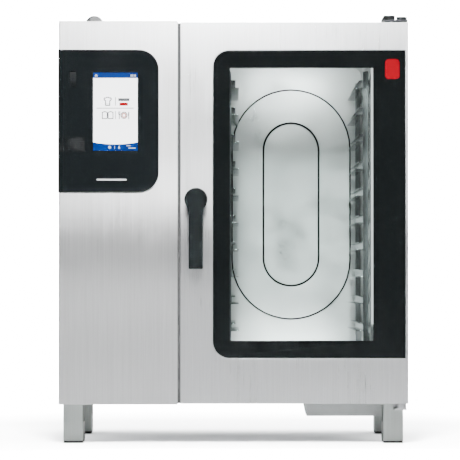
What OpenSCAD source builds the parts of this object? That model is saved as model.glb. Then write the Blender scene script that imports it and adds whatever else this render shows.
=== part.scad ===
/* [Casing] */
// Overall width, from the control module's side wrap to the door's hinge edge
body_w = 875; // [865:1:885]
// Height of the casing's underside above the floor
under_h = 100; // [96:1:110]
// Height of the casing's top above the floor
body_top = 1058; // [1054:1:1066]
// Overall depth, from the handle's face to the tips of the rear connections
overall_d = 792; // [780:1:800]
// Distance that the handle's face stands out from the door's face
handle_reach = 62; // [58:1:68]
// Distance that the rear connections stand out from the rear panel
stub_reach = 24; // [22:1:30]
// Thickness of the casing sheets
sheet = 1.5; // [1.2:0.1:2]
// Distance from the middle to the left front panel's right edge
panel_edge = 139; // [136:1:142]

/* [Door] */
// Thickness of the door
door_t = 58; // [56:1:60]
// Gap between the left front panel and the door
door_gap = 7.5; // [7:0.5:9]
// Gap between the door's back and the cavity's front frame, filled by the gasket
seal_gap = 8; // [8:0.5:10]
// Radius of the black glass's two left corners
glass_r = 42; // [30:1:50]
// Left edge of the black glass
glass_x0 = -50.5; // [-52:0.5:-48]
// Right edge of the black glass
glass_x1 = 430; // [428:0.5:431]
// Lower edge of the black glass
glass_z0 = 215.5; // [210:0.5:220]
// Upper edge of the black glass
glass_z1 = 984.5; // [980:0.5:990]
// Left edge of the clear window
window_x0 = -8; // [-10:0.5:-6]
// Right edge of the clear window
window_x1 = 349.5; // [348:0.5:352]
// Lower edge of the clear window
window_z0 = 259.5; // [255:0.5:265]
// Upper edge of the clear window
window_z1 = 940.5; // [935:0.5:945]
// Radius of the hinge pins
hinge_pin_r = 6; // [5:0.5:7]

/* [Handle] */
// Sideways place of the handle's turning axis
handle_x = -93; // [-95:1:-90]
// Height of the handle's turning axis
handle_z = 612; // [600:1:620]
// Radius of the handle's round head
handle_head_r = 26.5; // [24:0.5:28]
// Width of the handle's bar
handle_bar_w = 35; // [30:1:38]
// Distance from the turning axis to the bar's lower end
handle_len = 174; // [160:1:180]

/* [Cavity] */
// Right wall of the cavity
cavity_x1 = 347; // [346:0.5:348]
// Left wall of the fan chamber
chamber_x0 = -112; // [-114:0.5:-110]
// Face of the suction panel, which parts the fan chamber from the cavity
suction_x = -27; // [-28:0.5:-26]
// Floor of the cavity
cavity_z0 = 195; // [192:1:198]
// Ceiling of the cavity
cavity_z1 = 985; // [982:1:990]
// Back wall of the cavity
cavity_back = 305; // [300:1:308]
// Number of tray levels
levels = 11; // [5:1:11]
// Height from one tray level to the next
level_pitch = 68.3; // [60:0.1:68.3]
// Height of the lowest rail's underside
first_rail_z = 213; // [211:0.5:215]

/* [Control module] */
// Right edge of the control module
module_x1 = -186; // [-190:1:-184]
// Lower edge of the control module
module_z0 = 630; // [625:1:635]
// Upper edge of the control module
module_z1 = 986; // [980:1:990]
// Radius of the control module's two right corners
module_r = 50; // [40:1:60]
// How far the control module stands proud of the front panel
module_proud = 5; // [4:0.5:6]

/* [Fan] */
// Distance of the fan's axis behind the middle
fan_y = 20; // [10:1:30]
// Height of the fan's axis
fan_z = 600; // [590:1:610]
// Radius of the fan wheel
fan_r = 165; // [150:1:170]
// Number of fan blades
fan_blades = 12; // [8:1:16]

/* [Legs] */
// Width of a leg
leg_w = 50; // [46:1:54]
// Depth of a leg
leg_d = 100; // [90:1:110]
// Distance from the middle to a leg's outer face
leg_out = 428; // [424:1:430]
// Front face of the rear legs
rear_leg_y = 160; // [150:1:200]
// Thickness of a foot pad
pad_t = 6; // [5:0.5:8]

/* [Hidden] */
$fn = 48;
eps = 0.5;                                  // how far a cutter runs past the face that it opens
run = 0.05;                                 // radial clearance of a running fit

// Planes of the casing
left_x = -body_w / 2 + sheet;               // outer face of the left side panel
right_x = body_w / 2;                       // outer face of the right side panel
front_y = -overall_d / 2 + handle_reach;    // face of the door and of the left front panel
rear_y = overall_d / 2 - stub_reach;        // outer face of the rear panel
in_x0 = left_x + sheet;
in_x1 = right_x - sheet;
in_y0 = front_y + sheet;
in_y1 = rear_y - sheet;
base_t = 3;
beam_top = 150;                             // upper edge of the beam that carries the lower door hinge
floor_z = under_h + base_t;                 // inside of the base pan
roof_z = body_top - sheet;                  // underside of the top panel

// Planes of the door and of the frame behind it
door_x0 = -panel_edge + door_gap;
door_x1 = right_x;
door_z0 = under_h + 2;
door_z1 = body_top - 3;
door_back = front_y + door_t;
frame_y0 = door_back + seal_gap;
frame_y1 = frame_y0 + 2;
hinge_x = right_x - 16.5;
hinge_y = front_y + 22;

// Glass
glass_t = 4;
glass_proud = 1;
print_t = 0.5;
pane_x0 = -56;
pane_x1 = 375;
pane_z0 = 166;
pane_z1 = 1014;
pane_back = door_back - 1;
pane_t = 6;
print_y1 = front_y - glass_proud + glass_t + print_t;

// Cavity
wall = 2;                                   // liner thickness
corner_r = 20;                              // cavity corner radius
mouth_x0 = suction_x - wall;                // left edge of the cavity's mouth
middle_x = (mouth_x0 + cavity_x1) / 2 + 3;  // middle plane of the two racks
ins_t = 38;                                 // insulation thickness
liner_x0 = chamber_x0 - wall;
liner_x1 = cavity_x1 + wall;
liner_z0 = cavity_z0 - wall;
liner_z1 = cavity_z1 + wall;

// Fan chamber
coil_r = 190;                               // radius of the heater's rings
terminal_angle = 9;                         // heater terminals, either side of the top
terminal_hole_r = 5;
shaft_hole_r = 12;
motor_x1 = liner_x0 - ins_t;                // face that the fan motor is bolted to
spray_z = fan_z - (fan_r + coil_r) / 2 + 2;  // water pipe, between the wheel and the heater
damper_z = cavity_z1 + wall + ins_t + 13;

// Racks
rail_half = 166;                            // middle plane to a rail's web
rail_t = 1.5;
rail_shelf = 18.5;
rail_lip = 10;
rail_h = 20;
rail_y0 = -238;
rail_y1 = 288;
post_w = 13.5;
post_d = 20;
post_ys = [-215, 235];
post_z0 = 208;
post_z1 = 940;
stud_zs = [262, 905];
stud_r = 4;
hook_t = 3;

// Handle
handle_front = -overall_d / 2;
handle_bar_t = 24;
boss_r = 22;
spindle_r = 8;
striker_drop = 40;                          // striker pin below the handle's axis

// Control module
glass_inset = 3;
glass_depth = 2.5;
module_lip = [-424, -206, 646, 970];        // x0, x1, z0, z1 of the part that reaches into the panel
board_recess_d = 4;
display_x = [-356, -237];
display_z = [730, 931];
switch_x = [-408.5, -392];
switch_z = [893.5, 931.5];
switch_tilt = 7;
pivot_r = 1.5;
usb_x1 = -370;
usb_z = [730.5, 767.5];
usb_hinge_y = -318;
usb_port = [-402, -388, 744.5, 753.5];      // x0, x1, z0, z1 of the socket's outside
module_face = front_y - module_proud;
switch_pivot = [module_face + 7, (switch_z[0] + switch_z[1]) / 2];    // y, z
board_y = front_y + 38;                     // front of the circuit board behind the module

// Pipes
pipe_r = 25;
pipe_wall = 2;
vent_x = -367;
vent_y = 60;
vent_bend = 26;
intake_x = -70;
intake_y = 160;
drain_r = 24;
drain_x = 160;
drain_y = 60;
drain_z = floor_z + drain_r + 2;
outlet_x = -250;
condenser = [-400, -170, 30, 210];          // x0, x1, y0, y1
inlet_r = 13.2;
inlet_xs = [-345, -290];
inlet_z = 250;
gland_x = -400;
gland_z = 175;
vent_fan = [-310, 880];                     // x, z of the compartment fan
vent_fan_r = 57;
vent_fan_d = 38;

// Legs
front_leg_y = frame_y1;
leg_wall = 2.5;
leg_top = under_h - 3;
stem_r = 6;

// ---- helpers -------------------------------------------------------------------------------

module box(x0, x1, y0, y1, z0, z1) {
    translate([x0, y0, z0]) cube([x1 - x0, y1 - y0, z1 - z0]);
}
module rod_x(x0, x1, y, z, r) {
    translate([x0, y, z]) rotate([0, 90, 0]) cylinder(r = r, h = x1 - x0);
}
module rod_y(x, y0, y1, z, r) {
    translate([x, y0, z]) rotate([-90, 0, 0]) cylinder(r = r, h = y1 - y0);
}
module rod_z(x, y, z0, z1, r) {
    translate([x, y, z0]) cylinder(r = r, h = z1 - z0);
}
// Stands a flat X-Z outline up between the planes y0 and y1
module upright(y0, y1) {
    translate([0, y1, 0]) rotate([90, 0, 0]) linear_extrude(y1 - y0) children();
}
// Rectangle with round corners on its left side, its right side or both
module rounded(x0, x1, z0, z1, r, left = true, right = true) {
    xa = left ? x0 + r : x0;
    xb = right ? x1 - r : x1;
    translate([xa, z0]) square([xb - xa, z1 - z0]);
    translate([x0, z0 + r]) square([x1 - x0, z1 - z0 - 2 * r]);
    if (left) for (z = [z0 + r, z1 - r]) translate([x0 + r, z]) circle(r = r);
    if (right) for (z = [z0 + r, z1 - r]) translate([x1 - r, z]) circle(r = r);
}
// Upright oval with straight sides
module stadium(cx, cz, half_w, half_h) {
    translate([cx - half_w, cz - half_h + half_w]) square([2 * half_w, 2 * (half_h - half_w)]);
    for (s = [-1, 1]) translate([cx, cz + s * (half_h - half_w)]) circle(r = half_w);
}
// Outline of the black door glass, grown by g
module glass_outline(g = 0) {
    rounded(glass_x0 - g, glass_x1 + g, glass_z0 - g, glass_z1 + g, glass_r + g, right = false);
}
// Outline of the control module, shrunk by g; its left side is square
module module_outline(g = 0) {
    rounded(left_x + g, module_x1 - g, module_z0 + g, module_z1 - g, module_r - g, left = false);
}
// Plan of the casing between its panels; the left compartment reaches forward beside the door
module casing_plan(x0, x1, y0, y1, step_x, step_y) {
    polygon([[x0, y0], [step_x, y0], [step_x, step_y], [x1, step_y], [x1, y1], [x0, y1]]);
}

// ---- casing --------------------------------------------------------------------------------

module base_pan() {
    color("silver") union() {
        translate([0, 0, under_h]) linear_extrude(base_t)
            casing_plan(in_x0, in_x1, in_y0, in_y1, -panel_edge - sheet, frame_y1);
        box(-panel_edge, in_x1, frame_y1, frame_y1 + 3, floor_z, beam_top);
    }
}

module left_side_panel() {
    color("gainsboro") box(left_x, in_x0, front_y, rear_y, under_h, body_top);
}

module right_side_panel() {
    color("gainsboro") box(in_x1, right_x, frame_y0, rear_y, under_h, body_top);
}

module top_panel() {
    color("gainsboro") difference() {
        translate([0, 0, roof_z]) linear_extrude(sheet)
            casing_plan(in_x0, in_x1, front_y, rear_y, -panel_edge, frame_y0);
        rod_z(vent_x, vent_y, roof_z - eps, body_top + eps, pipe_r + 1);
        rod_z(intake_x, intake_y, roof_z - eps, body_top + eps, pipe_r + 1);
    }
}

module rear_panel() {
    slot_w = 90;
    slot_h = 5;
    slot_pitch = 16;
    color("gainsboro") difference() {
        box(in_x0, in_x1, in_y1, rear_y, under_h, roof_z);
        for (i = [0:7]) for (x = [-400, -260])
            box(x, x + slot_w, in_y1 - eps, rear_y + eps, 560 + i * slot_pitch, 560 + i * slot_pitch + slot_h);
        for (x = inlet_xs) rod_y(x, in_y1 - eps, rear_y + eps, inlet_z, inlet_r + 1);
        rod_y(outlet_x, in_y1 - eps, rear_y + eps, drain_z, drain_r + 1);
        rod_y(gland_x, in_y1 - eps, rear_y + eps, gland_z, 16.5);
        rod_y(vent_fan[0], in_y1 - eps, rear_y + eps, vent_fan[1], vent_fan_r);
    }
}

module left_front_panel() {
    color("gainsboro") difference() {
        union() {
            box(in_x0, -panel_edge, front_y, in_y0, under_h, roof_z);
            box(-panel_edge - sheet, -panel_edge, in_y0, frame_y0, under_h, roof_z);
        }
        box(module_lip[0] - 1, module_lip[1] + 1, front_y - eps, in_y0 + eps, module_lip[2] - 1, module_lip[3] + 1);
    }
}

module front_frame() {
    color("silver") difference() {
        box(-panel_edge, in_x1, frame_y0, frame_y1, under_h, roof_z);
        upright(frame_y0 - eps, frame_y1 + eps)
            rounded(mouth_x0, cavity_x1, cavity_z0, cavity_z1, corner_r);
        box(398, in_x1 + eps, frame_y0 - eps, frame_y1 + eps, under_h - eps, 132);
        rod_y(handle_x, frame_y0 - eps, frame_y1 + eps, handle_z - striker_drop, 6.05);
    }
}

// Places of the heater's two terminals, seen along the fan's axis
module terminals(x0, x1, r) {
    for (a = [-terminal_angle, terminal_angle])
        rod_x(x0, x1, fan_y + coil_r * sin(a), fan_z + coil_r * cos(a), r);
}

// Top, bottom and side walls, with a strip that closes the fan chamber at the front
module cavity_liner() {
    color("lightgray") difference() {
        upright(frame_y1, cavity_back) rounded(liner_x0, liner_x1, liner_z0, liner_z1, corner_r + wall);
        upright(frame_y1 + wall, cavity_back + eps)
            rounded(chamber_x0, cavity_x1, cavity_z0, cavity_z1, corner_r);
        upright(frame_y1 - eps, frame_y1 + wall + eps)
            rounded(mouth_x0, cavity_x1, cavity_z0, cavity_z1, corner_r);
        rod_x(liner_x0 - eps, chamber_x0 + eps, fan_y, fan_z, shaft_hole_r);
        terminals(liner_x0 - eps, chamber_x0 + eps, terminal_hole_r);
        rod_x(liner_x0 - eps, chamber_x0 + eps, fan_y, spray_z, terminal_hole_r);
        rod_z(drain_x, drain_y, liner_z0 - eps, cavity_z0 + eps, drain_r - pipe_wall);
        rod_z(intake_x, intake_y, cavity_z1 - eps, liner_z1 + eps, pipe_r - pipe_wall);
    }
}

// Back wall with its pressed ring
module cavity_back() {
    relief = 4;
    color("lightgray") union() {
        upright(cavity_back, cavity_back + wall)
            rounded(liner_x0, liner_x1, liner_z0, liner_z1, corner_r + wall);
        upright(cavity_back - relief, cavity_back) difference() {
            stadium(157, 615, 160, 311);
            stadium(157, 615, 75, 221);
        }
    }
}

module cavity_insulation() {
    hole = 2;                               // room around what passes through
    color("khaki") difference() {
        box(liner_x0 - ins_t, liner_x1 + ins_t, frame_y1 + 4, cavity_back + wall + ins_t,
            liner_z0 - ins_t, liner_z1 + ins_t);
        box(liner_x0 - eps, liner_x1 + eps, frame_y1, cavity_back + wall + eps, liner_z0 - eps, liner_z1 + eps);
        rod_x(liner_x0 - ins_t - eps, liner_x0, fan_y, fan_z, shaft_hole_r + hole);
        terminals(liner_x0 - ins_t - eps, liner_x0, terminal_hole_r + 1);
        rod_x(liner_x0 - ins_t - eps, liner_x0, fan_y, spray_z, terminal_hole_r + 1);
        rod_z(drain_x, drain_y, liner_z0 - ins_t - eps, liner_z0, drain_r + hole);
        rod_z(intake_x, intake_y, liner_z1, liner_z1 + ins_t + eps, pipe_r + hole);
    }
}

module door_gasket() {
    grow = 6;
    width = 14;
    color("dimgray") upright(pane_back + eps, frame_y0) difference() {
        rounded(mouth_x0 - grow - width, cavity_x1 + grow + width, cavity_z0 - grow - width,
            cavity_z1 + grow + width, corner_r + grow + width);
        rounded(mouth_x0 - grow, cavity_x1 + grow, cavity_z0 - grow, cavity_z1 + grow, corner_r + grow);
    }
}

// ---- air, heat and water inside ------------------------------------------------------------

module suction_panel() {
    z0 = cavity_z0 + 10;
    z1 = cavity_z1 - 10;
    y0 = -258;
    y1 = 300;
    slot_pitch = 17;
    slot_h = 10;
    grille_r = 145;
    lip = 19;
    color("silver") difference() {
        union() {
            box(suction_x - wall, suction_x, y0, y1, z0, z1);
            box(suction_x, suction_x + lip, y0, y0 + wall, z0, z1);
        }
        for (i = [-8:8]) {
            half = sqrt(grille_r * grille_r - i * i * slot_pitch * slot_pitch);
            z = fan_z + i * slot_pitch;
            box(suction_x - wall - eps, suction_x + eps, fan_y - half, fan_y + half, z - slot_h / 2, z + slot_h / 2);
        }
        for (i = [0:9]) for (y = [y0 + 10, y1 - 32]) {
            z = 232 + i * 72;
            box(suction_x - wall - eps, suction_x + eps, y, y + 14, z, z + 56);
        }
    }
}

module rack_studs() {
    color("gray") for (y = post_ys, z = stud_zs) {
        rod_x(suction_x, middle_x - rail_half - rail_t - post_w - 0.3, y + post_d / 2, z, stud_r);
        rod_x(middle_x + rail_half + rail_t + post_w + 0.3, cavity_x1, y + post_d / 2, z, stud_r);
    }
}

module heater_coil() {
    tube_r = 4.25;
    color("darkslategray") union() {
        for (x = [-92, -74, -56]) translate([x, fan_y, fan_z]) rotate([0, 90, 0])
            rotate_extrude() translate([coil_r, 0]) circle(r = tube_r);
        terminals(motor_x1 - 23, -56, tube_r);
    }
}

module fan_motor() {
    color("dimgray") difference() {
        union() {
            box(motor_x1 - 4, motor_x1, fan_y - 110, fan_y + 110, fan_z - 110, fan_z + 110);
            rod_x(motor_x1 - 160, motor_x1 - 4, fan_y, fan_z, 72);
            for (a = [0:30:330]) translate([motor_x1 - 140, fan_y, fan_z]) rotate([a, 0, 0])
                box(0, 110, -2, 2, 70, 80);
            box(motor_x1 - 110, motor_x1 - 50, fan_y - 40, fan_y + 40, fan_z + 60, fan_z + 105);
        }
        rod_x(motor_x1 - 64, motor_x1 + eps, fan_y, fan_z, 9 + run);
    }
}

// Water pipe past the edge of the fan wheel, then up to its hub
module spray_pipe() {
    turn_x = -37.5;
    outer = 4;
    inner = 2.2;
    color("silver") difference() {
        union() {
            rod_x(-200, turn_x, fan_y, spray_z, outer);
            translate([turn_x, fan_y, spray_z]) sphere(r = outer);
            rod_z(turn_x, fan_y, spray_z, fan_z - 25, outer);
        }
        rod_x(-200 - eps, turn_x, fan_y, spray_z, inner);
        rod_z(turn_x, fan_y, spray_z, fan_z - 25 + eps, inner);
    }
}

module water_inlets() {
    color("silver") for (x = inlet_xs) difference() {
        union() {
            rod_y(x, rear_y + 3, rear_y + 22, inlet_z, inlet_r);
            rod_y(x, rear_y, rear_y + 3, inlet_z, 18);
            rod_y(x, in_y1 - 60, rear_y, inlet_z, inlet_r - 0.5);
            box(x - 18, x + 18, in_y1 - 90, in_y1 - 50, inlet_z - 18, inlet_z + 50);
        }
        rod_y(x, in_y1 - 55, rear_y + 23, inlet_z, 9);
    }
}

module wash_pump() {
    color("darkgray") union() {
        rod_x(-330, -230, -120, floor_z + 60, 42);
        rod_x(-230, -205, -120, floor_z + 60, 55);
        rod_z(-217, -120, floor_z + 110, floor_z + 150, 12);
        box(-320, -240, -150, -90, floor_z, floor_z + 30);
    }
}

module condenser_box() {
    z1 = floor_z + 90;
    color("silver") difference() {
        box(condenser[0], condenser[1], condenser[2], condenser[3], floor_z, z1);
        box(condenser[0] + 2, condenser[1] - 2, condenser[2] + 2, condenser[3] - 2, floor_z + 2, z1 - 2);
        rod_x(condenser[1] - 3, condenser[1] + eps, drain_y, drain_z, drain_r);
        rod_y(outlet_x, condenser[3] - 3, condenser[3] + eps, drain_z, drain_r - 0.5);
        rod_z(vent_x, vent_y, z1 - 3, z1 + eps, pipe_r);
    }
}

// Waste pipe: down from the cavity's floor, then across into the condenser box
module cavity_drain_pipe() {
    module bore(r, past) {
        rod_z(drain_x, drain_y, drain_z, cavity_z0 - wall + past, r);
        rod_x(condenser[1] - past, drain_x, drain_y, drain_z, r);
        translate([drain_x, drain_y, drain_z]) sphere(r = r);
    }
    color("silver") difference() {
        bore(drain_r, 0);
        bore(drain_r - pipe_wall, 2);
    }
}

module drain_outlet() {
    color("darkgray") difference() {
        union() {
            rod_y(outlet_x, condenser[3], rear_y, drain_z, drain_r - 0.5);
            rod_y(outlet_x, rear_y, rear_y + 2, drain_z, drain_r + 5);
            rod_y(outlet_x, rear_y + 2, overall_d / 2, drain_z, drain_r);
        }
        rod_y(outlet_x, condenser[3] - eps, overall_d / 2 + eps, drain_z, drain_r - 3);
    }
}

// Steam exhaust: up from the condenser box, through the roof, and a bend towards the back
module exhaust_pipe() {
    module bore(r, end, past) {
        rod_z(vent_x, vent_y, floor_z + 90 - past, body_top, r);
        translate([vent_x, vent_y + vent_bend, body_top]) rotate([90, 0, -90])
            rotate_extrude(angle = 90) translate([vent_bend, 0]) circle(r = r);
        rod_y(vent_x, vent_y + vent_bend, vent_y + vent_bend + end, body_top + vent_bend, r);
    }
    color("silver") difference() {
        bore(pipe_r, 12, 0);
        bore(pipe_r - 3, 12 + eps, eps);
        rod_y(vent_x, vent_y + vent_bend, vent_y + vent_bend + 12 + eps, body_top + vent_bend, pipe_r - pipe_wall);
    }
}

module air_intake_pipe() {
    color("silver") difference() {
        union() {
            rod_z(intake_x, intake_y, cavity_z1 + wall, body_top + 22, pipe_r);
            box(intake_x - 16, intake_x + 16, intake_y + pipe_r - 3, intake_y + pipe_r + 16, body_top - 25, roof_z);
        }
        rod_z(intake_x, intake_y, cavity_z1, body_top + 2, pipe_r - 3);
        rod_z(intake_x, intake_y, body_top + 2, body_top + 23, pipe_r - pipe_wall);
        rod_y(intake_x, intake_y - pipe_r - eps, intake_y + pipe_r + 4, damper_z, 3 + run);
    }
}

module damper_flap() {
    color("goldenrod") union() {
        rod_y(intake_x, intake_y - pipe_r - 3, intake_y + pipe_r + 3, damper_z, 3);
        rod_z(intake_x, intake_y, damper_z - 1, damper_z + 1, pipe_r - 4);
    }
}

// ---- electrical parts ----------------------------------------------------------------------

module contactors() {
    color("dimgray") {
        box(in_x0, in_x0 + 2, -180, 260, 300, 560);
        for (i = [0:4]) box(in_x0 + 2, in_x0 + 36, -165 + i * 52, -120 + i * 52, 440, 520);
        box(in_x0 + 2, in_x0 + 42, 130, 240, 330, 400);
        box(in_x0 + 2, in_x0 + 72, -160, -60, 320, 400);
    }
}

module cable_gland() {
    color("dimgray") difference() {
        union() {
            rod_y(gland_x, in_y1 - 12, rear_y, gland_z, 16);
            rod_y(gland_x, rear_y, rear_y + 8, gland_z, 20);
            rod_y(gland_x, rear_y + 8, rear_y + 20, gland_z, 15);
        }
        rod_y(gland_x, in_y1 - 13, rear_y + 21, gland_z, 9);
    }
}

module control_board() {
    socket_wall = 1;
    board_t = 2;
    color("darkgreen") difference() {
        union() {
            box(-420, -215, board_y, board_y + board_t, 655, 960);
            for (i = [0:3]) box(-400 + i * 45, -375 + i * 45, board_y + board_t, board_y + 14, 680, 705);
            box(-330, -270, board_y + board_t, board_y + 22, 800, 860);
            box(usb_port[0], usb_port[1], module_face + 3, board_y, usb_port[2], usb_port[3]);
        }
        box(usb_port[0] + socket_wall, usb_port[1] - socket_wall, module_face + 2, module_face + 17,
            usb_port[2] + socket_wall, usb_port[3] - socket_wall);
    }
}

module cooling_fan_frame() {
    x = vent_fan[0];
    z = vent_fan[1];
    half = 60;
    y0 = in_y1 - vent_fan_d;
    color("dimgray") union() {
        difference() {
            box(x - half, x + half, y0, in_y1, z - half, z + half);
            rod_y(x, y0 - eps, in_y1 + eps, z, vent_fan_r);
        }
        difference() {
            union() {
                rod_y(x, y0, y0 + 6, z, 22);
                for (a = [45, 135]) translate([x, 0, z]) rotate([0, a, 0]) box(-58, 58, y0, y0 + 3, -3, 3);
            }
            rod_y(x, y0 - 1, y0 + 7, z, 3 + run);
        }
    }
}

module cooling_fan_wheel() {
    x = vent_fan[0];
    z = vent_fan[1];
    y0 = in_y1 - vent_fan_d + 8;            // hub's inner face
    hub_d = 22;
    hub_r = 20;
    blades = 7;
    pitch = 35;
    chord = 22;
    color("black") union() {
        rod_y(x, y0 - 7, y0, z, 3);
        rod_y(x, y0, y0 + hub_d, z, hub_r);
        for (i = [0:blades - 1]) translate([x, y0 + hub_d / 2, z]) rotate([0, i * 360 / blades, 0])
            rotate([pitch, 0, 0]) translate([hub_r - 2, -1, -chord / 2]) cube([36, 2, chord]);
    }
}

// ---- control module ------------------------------------------------------------------------

// Cut-outs for the screen, the switch and the cover, between two depths
module module_cuts(y0, y1, past) {
    box(display_x[0] - past, display_x[1] + past, y0, y1, display_z[0] - past, display_z[1] + past);
    box(switch_x[0] - eps, switch_x[1] + eps, y0, y1, switch_z[0] - 1, switch_z[1] + 1);
    box(left_x - 2 * sheet, usb_x1 + eps, y0, y1, usb_z[0] - eps, usb_z[1] + eps);
}

module control_housing() {
    rim = 6;
    in_x = [module_lip[0] + rim, module_lip[1] - rim];
    mid_x = -365;                           // the switch and the socket sit left of here
    rooms = [                               // x0, z0, z1 of each hollow behind
        [in_x[0], module_lip[2] + rim, 700], [mid_x, 700, 776],
        [in_x[0], 776, 870], [mid_x, 870, module_lip[3] - rim]
    ];
    color("black") difference() {
        union() {
            upright(module_face, front_y) module_outline();
            box(left_x - sheet, left_x, module_face, front_y + 34, module_z0, module_z1);
            box(module_lip[0], module_lip[1], front_y, board_y, module_lip[2], module_lip[3]);
        }
        upright(module_face - eps, module_face + glass_depth) module_outline(glass_inset);
        module_cuts(module_face - eps, module_face + 3, eps);
        box(display_x[0] - eps, display_x[1] + eps, module_face, module_face + 6, display_z[0] - eps, display_z[1] + eps);
        for (r = rooms) box(r[0], in_x[1], front_y + board_recess_d, board_y + eps, r[1], r[2]);
        box(switch_x[0] - eps, switch_x[1] + eps, module_face, front_y + 15, switch_z[0] - 1, switch_z[1] + 1);
        rod_x(switch_x[0] - 3, switch_x[1] + 3, switch_pivot[0], switch_pivot[1], pivot_r + run);
        box(left_x - 2 * sheet, left_x, module_face - eps, usb_hinge_y + 2, usb_z[0] - eps, usb_z[1] + eps);
        box(usb_port[0] - eps, usb_port[1] + eps, module_face, board_y + eps, usb_port[2] - eps, usb_port[3] + eps);
    }
}

module control_glass() {
    color("black") difference() {
        upright(module_face, module_face + glass_depth) module_outline(glass_inset + 0.2);
        module_cuts(module_face - eps, module_face + 3, 0);
    }
}

module display_panel() {
    color("white") box(display_x[0], display_x[1], module_face + 0.3, module_face + 5, display_z[0], display_z[1]);
}

// Rocker with two flats that meet in a shallow valley, stored with its lower end pressed
module power_switch() {
    half = (switch_z[1] - switch_z[0]) / 2 - 0.5;
    face = -6;
    valley = 1.6;
    width = switch_x[1] - switch_x[0];
    color("black") translate([switch_x[0], switch_pivot[0], switch_pivot[1]]) union() {
        rotate([switch_tilt, 0, 0]) rotate([90, 0, 90]) linear_extrude(width)
            polygon([[face, -half], [face + valley, 0], [face, half], [0, half], [4, 6], [4, -6], [0, -half]]);
        rod_x(-2, width + 2, 0, 0, pivot_r);
    }
}

// Cover over the socket: wraps the casing's corner and turns on a barrel at its rear edge
module usb_cover() {
    grip_x0 = -408;
    grip_h = 0.6;
    barrel_r = 0.65;
    side_x1 = left_x - 0.2;
    color("black") union() {
        box(left_x - sheet, usb_x1, module_face - eps, module_face + 1.5, usb_z[0], usb_z[1]);
        box(left_x - sheet, side_x1, module_face + 1.5, usb_hinge_y, usb_z[0], usb_z[1]);
        rod_z(side_x1 - barrel_r, usb_hinge_y, usb_z[0], usb_z[1], barrel_r);
        for (i = [0:5]) {
            z = usb_z[0] + 5 + i * 5;
            box(grip_x0, usb_x1 - 3, module_face - eps - grip_h, module_face - eps, z, z + 1.5);
        }
    }
}

// ---- door hinges, latch and legs -----------------------------------------------------------

module hinge_bracket_top() {
    color("gray") union() {
        box(378, 437, hinge_y - 16, -200, body_top, body_top + 4);
        rod_z(hinge_x, hinge_y, body_top + 4, body_top + 12, 12);
        rod_z(hinge_x, hinge_y, body_top - 34, body_top, hinge_pin_r);
        rod_z(hinge_x, hinge_y, door_z1 + 0.3, body_top, 12);
        for (y = [-250, -218]) rod_z(419, y, body_top + 4, body_top + 10, 8);
        box(433, 437, -290, -200, body_top + 4, body_top + 14);
    }
}

module hinge_cap_top() {
    color("black") box(376, 405, hinge_y - 14, -202, body_top + 4, body_top + 15);
}

module hinge_bracket_bottom() {
    color("gray") union() {
        box(403, 433, hinge_y - 16, frame_y1, 86, 90);
        box(403, 433, frame_y1 - 4, frame_y1, 90, 128);
        rod_z(hinge_x, hinge_y, 90, door_z0 - 0.3, 12);
        rod_z(hinge_x, hinge_y, door_z0 - 0.3, door_z0 + 30, hinge_pin_r);
    }
}

module striker_pin() {
    z = handle_z - striker_drop;
    color("silver") union() {
        rod_y(handle_x, frame_y0, frame_y1, z, 6);
        rod_y(handle_x, frame_y0 - 1.5, frame_y0, z, 12);
        rod_y(handle_x, frame_y0 - 24, frame_y0 - 1.5, z, 6);
        rod_y(handle_x, frame_y0 - 30, frame_y0 - 24, z, 9);
    }
}

// One leg for the +X side, with its opening towards the middle
module one_leg(y) {
    x0 = leg_out - leg_w;
    web_z = [22, 28];                       // web that holds the foot's stem
    hole_z = 74;                            // centre of the opening's round end
    hole_r = leg_d / 2 - 8;
    hole_drop = 22;                         // how far the opening reaches below that centre
    color("lightgray") difference() {
        union() {
            box(x0, leg_out, y, y + leg_d, pad_t + 0.2, leg_top);
            box(leg_out - 88, leg_out, y, y + leg_d + 6, leg_top, under_h);
        }
        difference() {
            box(x0 + leg_wall, leg_out - leg_wall, y + leg_wall, y + leg_d - leg_wall, pad_t - eps, leg_top);
            difference() {
                box(x0, leg_out, y, y + leg_d, web_z[0], web_z[1]);
                rod_z(x0 + leg_w / 2, y + leg_d / 2, web_z[0] - 1, web_z[1] + 1, stem_r + run);
            }
        }
        box(x0 - eps, x0 + leg_wall + eps, y + 8, y + leg_d - 8, hole_z, leg_top - 4);
        translate([x0 - eps, y + leg_d / 2, hole_z]) rotate([0, 90, 0]) difference() {
            cylinder(r = hole_r, h = leg_wall + 2 * eps);
            translate([hole_drop, -leg_d, -1]) cube([leg_d, 2 * leg_d, leg_wall + 3]);
        }
    }
}

module legs() {
    for (y = [front_leg_y, rear_leg_y]) {
        one_leg(y);
        mirror([1, 0, 0]) one_leg(y);
    }
}

// Black glide with its threaded stem; side is -1 for the left, 1 for the right
module foot(side, y) {
    cx = side * (leg_out - leg_w / 2);
    color("black") union() {
        box(cx - leg_w / 2 + 0.5, cx + leg_w / 2 - 0.5, y + 0.5, y + leg_d - 0.5, 0, pad_t);
        rod_z(cx, y + leg_d / 2, pad_t, 62, stem_r);
    }
}
module foot_front_left() { foot(-1, front_leg_y); }
module foot_front_right() { foot(1, front_leg_y); }
module foot_rear_left() { foot(-1, rear_leg_y); }
module foot_rear_right() { foot(1, rear_leg_y); }

module underside_cover() {
    y0 = front_leg_y + leg_d + 6;
    y1 = y0 + 180;
    z0 = 63;
    color("darkgray") union() {
        difference() {
            upright(y0, y1) polygon([[180, under_h], [188, z0], [385, z0], [385, under_h]]);
            upright(y0 + wall, y1 - wall)
                polygon([[182.5, under_h + 1], [190.5, z0 + wall], [383, z0 + wall], [383, under_h + 1]]);
        }
        for (x = [219, 334]) rod_z(x, y0 - 4, under_h - 4, under_h, 4);
    }
}

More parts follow.
